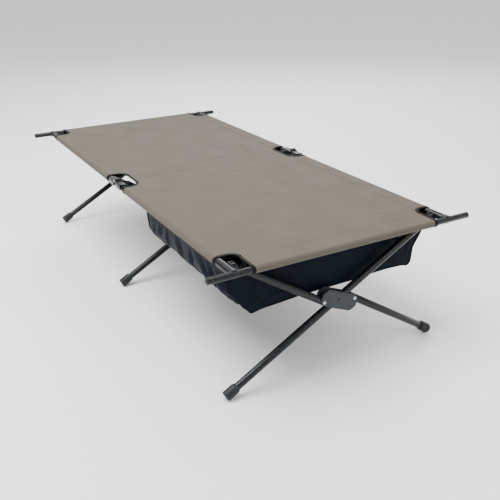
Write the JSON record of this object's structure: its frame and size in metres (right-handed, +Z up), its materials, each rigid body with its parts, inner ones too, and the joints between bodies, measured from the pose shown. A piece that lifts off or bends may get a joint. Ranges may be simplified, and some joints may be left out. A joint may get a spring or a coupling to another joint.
{
  "type": "folding cot",
  "caption": "Folding camp cot with hinged side rails, scissor leg pairs, loose end bars, a taut bed fabric and a fabric tray slung under one half.",
  "frame": {"origin": "on the floor, under the middle of the bed", "axes": "+X along the bed towards the half with the storage tray, +Y across the bed, +Z up"},
  "size_m": [1.919, 0.98, 0.4759],
  "materials": {
    "coated_tube": "satin",
    "pressed_bracket": "satin",
    "hub_plate": "satin",
    "bright_rivet": "satin",
    "moulded_black": "matte",
    "bed_canvas": "matte",
    "tray_cloth": "matte"
  },
  "bodies": {
    "near_left_frame": {"near_left_rail": "coated_tube", "near_left_bar_cradle": "moulded_black", "near_left_hinge_leaf": "pressed_bracket", "left_hinge_pin": "bright_rivet", "near_left_leg_bracket": "pressed_bracket", "near_bed_fabric": "bed_canvas", "storage_tray": "tray_cloth"},
    "far_left_frame": {"far_left_rail": "coated_tube", "far_left_bar_cradle": "moulded_black", "far_left_hinge_leaf": "pressed_bracket", "far_left_leg_bracket": "pressed_bracket", "middle_left_leg_bracket": "pressed_bracket", "far_bed_fabric": "bed_canvas"},
    "near_right_frame": {"near_right_rail": "coated_tube", "near_right_bar_cradle": "moulded_black", "near_right_hinge_leaf": "pressed_bracket", "right_hinge_pin": "bright_rivet", "near_right_leg_bracket": "pressed_bracket"},
    "far_right_frame": {"far_right_rail": "coated_tube", "far_right_bar_cradle": "moulded_black", "far_right_hinge_leaf": "pressed_bracket", "far_right_leg_bracket": "pressed_bracket", "middle_right_leg_bracket": "pressed_bracket"},
    "near_bar": {"near_end_bar": "coated_tube", "near_left_bar_cap": "moulded_black", "near_right_bar_cap": "moulded_black"},
    "far_bar": {"far_end_bar": "coated_tube", "far_left_bar_cap": "moulded_black", "far_right_bar_cap": "moulded_black"},
    "near_split_leg": {"near_split_leg_upper": "coated_tube", "near_split_leg_lower": "coated_tube", "near_hub_plate_outer": "hub_plate", "near_hub_plate_inner": "hub_plate", "near_hub_bolt": "bright_rivet", "near_hub_rivet_upper": "bright_rivet", "near_hub_rivet_lower": "bright_rivet", "near_right_foot": "moulded_black"},
    "near_straight_leg": {"near_straight_leg": "coated_tube", "near_left_foot": "moulded_black"},
    "middle_split_leg": {"middle_split_leg_upper": "coated_tube", "middle_split_leg_lower": "coated_tube", "middle_hub_plate_outer": "hub_plate", "middle_hub_plate_inner": "hub_plate", "middle_hub_bolt": "bright_rivet", "middle_hub_rivet_upper": "bright_rivet", "middle_hub_rivet_lower": "bright_rivet", "middle_right_foot": "moulded_black"},
    "middle_straight_leg": {"middle_straight_leg": "coated_tube", "middle_left_foot": "moulded_black"},
    "far_split_leg": {"far_split_leg_upper": "coated_tube", "far_split_leg_lower": "coated_tube", "far_hub_plate_outer": "hub_plate", "far_hub_plate_inner": "hub_plate", "far_hub_bolt": "bright_rivet", "far_hub_rivet_upper": "bright_rivet", "far_hub_rivet_lower": "bright_rivet", "far_right_foot": "moulded_black"},
    "far_straight_leg": {"far_straight_leg": "coated_tube", "far_left_foot": "moulded_black"}
  },
  "joints": [
    {"name": "centre_fold", "type": "hinge", "parent": "near_left_frame", "child": "far_left_frame", "pos_m": [0, -0.4, 0.469], "axis": [0, 1, 0], "range_deg": [0, 180]},
    {"name": "leg_fold", "type": "hinge", "parent": "near_left_frame", "child": "near_split_leg", "pos_m": [0.89, -0.374, 0.452], "axis": [-1, 0, 0], "range_deg": [0, 56], "deforming": ["near_bed_fabric", "far_bed_fabric", "storage_tray"]},
    {"name": "near_straight_leg_turn", "type": "hinge", "parent": "near_split_leg", "child": "near_straight_leg", "pos_m": [0.89, 0, 0.24346], "axis": [1, 0, 0], "range_deg": [0, 112]},
    {"name": "near_right_frame_turn", "type": "hinge", "parent": "near_straight_leg", "child": "near_right_frame", "pos_m": [0.89, 0.374, 0.452], "axis": [-1, 0, 0], "range_deg": [0, 56]},
    {"name": "middle_split_leg_turn", "type": "hinge", "parent": "far_left_frame", "child": "middle_split_leg", "pos_m": [-0.036, -0.374, 0.452], "axis": [-1, 0, 0], "range_deg": [0, 56]},
    {"name": "middle_straight_leg_turn", "type": "hinge", "parent": "middle_split_leg", "child": "middle_straight_leg", "pos_m": [-0.036, 0, 0.24346], "axis": [1, 0, 0], "range_deg": [0, 112]},
    {"name": "far_split_leg_turn", "type": "hinge", "parent": "far_left_frame", "child": "far_split_leg", "pos_m": [-0.89, -0.374, 0.452], "axis": [-1, 0, 0], "range_deg": [0, 56]},
    {"name": "far_straight_leg_turn", "type": "hinge", "parent": "far_split_leg", "child": "far_straight_leg", "pos_m": [-0.89, 0, 0.24346], "axis": [1, 0, 0], "range_deg": [0, 112]},
    {"name": "far_right_frame_turn", "type": "hinge", "parent": "far_straight_leg", "child": "far_right_frame", "pos_m": [-0.89, 0.374, 0.452], "axis": [-1, 0, 0], "range_deg": [0, 56]},
    {"name": "near_bar_draw", "type": "slide", "parent": "near_left_frame", "child": "near_bar", "axis": [0, 1, 0], "range_m": [0, 1]},
    {"name": "far_bar_draw", "type": "slide", "parent": "far_left_frame", "child": "far_bar", "axis": [0, 1, 0], "range_m": [0, 1]}
  ],
  "couplings": [
    {"joint": "near_straight_leg_turn", "follows": "leg_fold", "ratio": 2},
    {"joint": "near_right_frame_turn", "follows": "leg_fold", "ratio": 1},
    {"joint": "middle_split_leg_turn", "follows": "leg_fold", "ratio": 1},
    {"joint": "middle_straight_leg_turn", "follows": "leg_fold", "ratio": 2},
    {"joint": "far_split_leg_turn", "follows": "leg_fold", "ratio": 1},
    {"joint": "far_straight_leg_turn", "follows": "leg_fold", "ratio": 2},
    {"joint": "far_right_frame_turn", "follows": "leg_fold", "ratio": 1}
  ]
}
